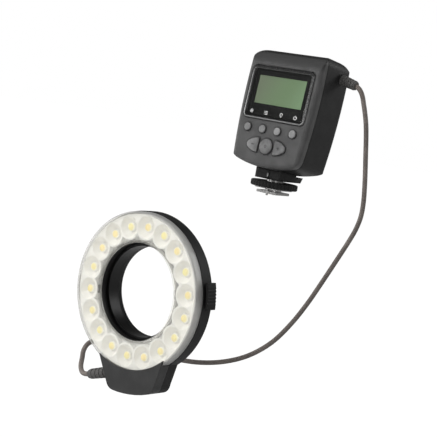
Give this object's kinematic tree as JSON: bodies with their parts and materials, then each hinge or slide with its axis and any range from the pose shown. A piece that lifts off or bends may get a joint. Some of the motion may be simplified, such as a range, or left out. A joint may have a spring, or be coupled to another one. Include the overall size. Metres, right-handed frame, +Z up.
{
  "type": "macro ring flash",
  "caption": "Ring of small lamps behind a clear cover that clips to a lens thread, joined by a cord to a shoe-mounted control unit with a display, buttons and a battery bay.",
  "frame": {"origin": "middle of the shoe foot's underside, where the control unit stands on the camera's shoe", "axes": "+Z up, -Y towards the subject that the lamps face, +X to the right as seen from the front of the ring"},
  "size_m": [0.1404, 0.1734, 0.2612],
  "materials": {
    "clear_plastic": "clear polished",
    "white_plastic": "satin white",
    "board_white": "white solder mask",
    "lamp_body": "white",
    "phosphor": "yellow silicone",
    "black_plastic": "fine matte",
    "chin_plastic": "fine matte",
    "latch_plastic": "ribbed satin",
    "black_metal": "black anodised",
    "dark_screw": "blackened",
    "spring_steel": "bright wire",
    "flex": "amber film",
    "green_board": "green solder mask",
    "chip_black": "moulded",
    "switch_grey": "moulded",
    "face_grey": "fine matte",
    "case_black": "fine matte",
    "bezel": "gloss",
    "window": "clear gloss",
    "mask_black": "gloss black",
    "lcd": "grey green",
    "holder_white": "moulded",
    "button_grey": "soft matte",
    "tray_plastic": "moulded",
    "cell_jacket": "printed jacket, plain bands",
    "plated": "nickel plated",
    "foot_metal": "satin",
    "carrier_black": "moulded",
    "contact_gold": "plated",
    "boot_rubber": "matte",
    "cord_jacket": "satin"
  },
  "bodies": {
    "flash": {"clear_cover": "clear_plastic", "reflector": "white_plastic", "led_board": "board_white", "led_packages": "lamp_body", "led_phosphors": "phosphor", "ring_rear_housing": "black_plastic", "chin_front_cover": "chin_plastic", "inner_sleeve": "black_plastic", "latch_spring_right": "spring_steel", "latch_spring_left": "spring_steel", "ring_back_plate": "black_plastic", "back_screws": "dark_screw", "chin_screws": "dark_screw", "led_flex": "flex", "ring_driver_board": "green_board", "ring_boot": "boot_rubber", "front_shell": "face_grey", "rear_shell": "case_black", "case_screws": "dark_screw", "display_frame": "bezel", "display_window": "window", "display_mask": "mask_black", "lcd_panel": "lcd", "lcd_holder": "holder_white", "main_board": "green_board", "board_chips": "chip_black", "board_screws": "dark_screw", "tact_switches": "switch_grey", "battery_tray": "tray_plastic", "batteries": "cell_jacket", "battery_plates": "plated", "battery_springs": "spring_steel", "door_hinge_pin": "spring_steel", "shoe_neck": "case_black", "neck_screws": "dark_screw", "shoe_foot": "foot_metal", "contact_carrier": "carrier_black", "controller_boot": "boot_rubber", "cord": "cord_jacket"},
    "pilot_button": {"pilot_button": "button_grey"},
    "mode_button": {"mode_button": "button_grey"},
    "light_button": {"light_button": "button_grey"},
    "power_button": {"power_button": "button_grey"},
    "left_button": {"left_button": "button_grey"},
    "set_button": {"set_button": "button_grey"},
    "right_button": {"right_button": "button_grey"},
    "clamp": {"clamp_plate": "foot_metal", "lock_pin": "foot_metal"},
    "wheel": {"lock_wheel": "black_plastic"},
    "contacts": {"contact_pins": "contact_gold"},
    "door": {"battery_door": "case_black"},
    "latch_right": {"latch_slider_right": "latch_plastic"},
    "latch_left": {"latch_slider_left": "latch_plastic"},
    "adapter": {"adapter_ring": "black_metal"}
  },
  "joints": [
    {"name": "pilot_press", "type": "slide", "parent": "flash", "child": "pilot_button", "axis": [0, 0.9945, -0.1045], "range_m": [0, 0.0008], "stiffness_N_per_m": 800, "springref_m": -0.0006},
    {"name": "mode_press", "type": "slide", "parent": "flash", "child": "mode_button", "axis": [0, 0.9945, -0.1045], "range_m": [0, 0.0008], "stiffness_N_per_m": 800, "springref_m": -0.0006},
    {"name": "light_press", "type": "slide", "parent": "flash", "child": "light_button", "axis": [0, 0.9945, -0.1045], "range_m": [0, 0.0008], "stiffness_N_per_m": 800, "springref_m": -0.0006},
    {"name": "power_press", "type": "slide", "parent": "flash", "child": "power_button", "axis": [0, 0.9945, -0.1045], "range_m": [0, 0.0008], "stiffness_N_per_m": 800, "springref_m": -0.0006},
    {"name": "left_press", "type": "slide", "parent": "flash", "child": "left_button", "axis": [0, 0.9945, -0.1045], "range_m": [0, 0.0008], "stiffness_N_per_m": 800, "springref_m": -0.0006},
    {"name": "set_press", "type": "slide", "parent": "flash", "child": "set_button", "axis": [0, 0.9945, -0.1045], "range_m": [0, 0.0008], "stiffness_N_per_m": 800, "springref_m": -0.0006},
    {"name": "right_press", "type": "slide", "parent": "flash", "child": "right_button", "axis": [0, 0.9945, -0.1045], "range_m": [0, 0.0008], "stiffness_N_per_m": 800, "springref_m": -0.0006},
    {"name": "clamp_slide", "type": "slide", "parent": "flash", "child": "clamp", "axis": [0, 0, 1], "range_m": [0, 0.0014]},
    {"name": "wheel_turn", "type": "hinge", "parent": "clamp", "child": "wheel", "pos_m": [0, 0, 0.007], "axis": [0, 0, 1], "range_deg": [0, 504]},
    {"name": "contacts_press", "type": "slide", "parent": "flash", "child": "contacts", "axis": [0, 0, 1], "range_m": [0, 0.0007], "stiffness_N_per_m": 400, "springref_m": -0.001},
    {"name": "door_swing", "type": "hinge", "parent": "flash", "child": "door", "pos_m": [0, 0.01969, 0.02666], "axis": [-1, 0, 0], "range_deg": [0, 97]},
    {"name": "latch_right_press", "type": "slide", "parent": "flash", "child": "latch_right", "axis": [-0.9848, 0, -0.1736], "range_m": [0, 0.0016], "stiffness_N_per_m": 500, "springref_m": -0.002, "deforming": ["latch_spring_right"]},
    {"name": "latch_left_press", "type": "slide", "parent": "flash", "child": "latch_left", "axis": [0.9848, 0, 0.1736], "range_m": [0, 0.0016], "stiffness_N_per_m": 500, "springref_m": -0.002, "deforming": ["latch_spring_left"]},
    {"name": "adapter_spin", "type": "hinge", "parent": "flash", "child": "adapter", "pos_m": [0, -0.14, -0.0761], "axis": [0, 1, 0], "continuous": true}
  ],
  "couplings": [
    {"joint": "wheel_turn", "follows": "clamp_slide", "rad_per_m": 6283.1}
  ]
}
